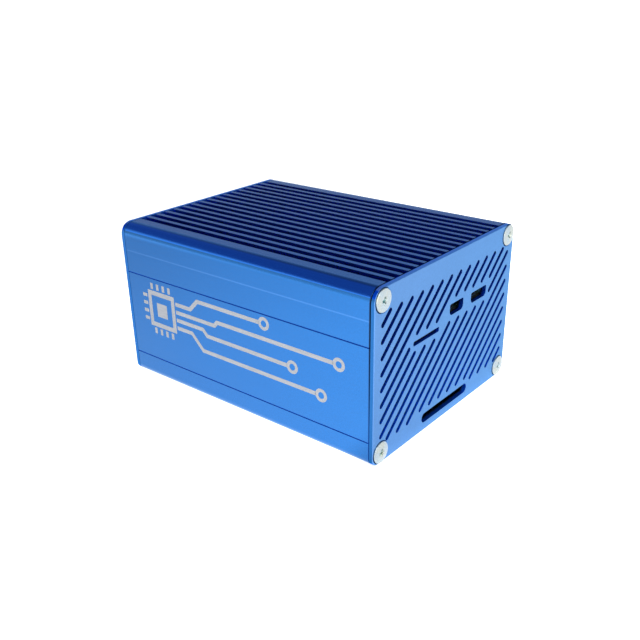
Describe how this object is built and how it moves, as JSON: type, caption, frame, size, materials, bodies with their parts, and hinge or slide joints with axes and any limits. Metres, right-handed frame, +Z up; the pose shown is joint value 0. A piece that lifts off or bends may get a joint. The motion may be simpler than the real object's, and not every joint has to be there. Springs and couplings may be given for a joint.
{
  "type": "single board computer",
  "caption": "Small single board computer in a blue anodised finned aluminium case with slanted vents and a slide-out memory card.",
  "frame": {"origin": "centre of the case's underside", "axes": "+X along the case to the front plate with the card slot, +Y across the case, +Z up to the fins"},
  "size_m": [0.097, 0.0716, 0.05],
  "materials": {
    "anodised_case": "satin blue anodised extrusion",
    "anodised_plate": "satin blue anodised plate",
    "zinc_screw": "bright zinc plate",
    "bare_aluminium": "mill finish",
    "standoff_brass": "turned",
    "board_laminate": "solder mask",
    "chip_resin": "moulded resin",
    "ceramic_part": "ceramic",
    "inductor_ferrite": "ferrite",
    "socket_steel": "tin plated",
    "gold_contact": "gold plated",
    "black_connector": "moulded",
    "led_lens": "clear",
    "thermal_pad": "soft silicone",
    "card_plastic": "moulded"
  },
  "bodies": {
    "case": {"case_body": "anodised_case", "front_plate": "anodised_plate", "rear_plate": "anodised_plate", "front_plate_screws": "zinc_screw", "rear_plate_screws": "zinc_screw", "carrier_tray": "bare_aluminium", "board_standoffs": "standoff_brass", "tray_screws": "zinc_screw", "board_screws": "zinc_screw", "circuit_board": "board_laminate", "system_chip": "chip_resin", "coprocessor_chip": "chip_resin", "working_memory_chip": "chip_resin", "flash_chip": "chip_resin", "ethernet_chip": "chip_resin", "usb_chip": "chip_resin", "display_chip": "chip_resin", "power_regulators": "chip_resin", "power_inductors": "inductor_ferrite", "bulk_capacitors": "ceramic_part", "crystals": "socket_steel", "status_leds": "led_lens", "serial_header_base": "black_connector", "serial_header_pins": "gold_contact", "ethernet_jack": "socket_steel", "ethernet_contacts": "gold_contact", "power_jack": "black_connector", "power_jack_pin": "socket_steel", "micro_hdmi_socket": "socket_steel", "micro_usb_socket": "socket_steel", "memory_card_socket": "socket_steel", "expansion_connectors": "black_connector", "conduction_block": "bare_aluminium", "chip_thermal_pad": "thermal_pad", "roof_thermal_pad": "thermal_pad"},
    "card": {"memory_card": "card_plastic"}
  },
  "joints": [
    {"name": "card_slide", "type": "slide", "parent": "case", "child": "card", "axis": [1, 0, 0], "range_m": [0, 0.016]}
  ]
}
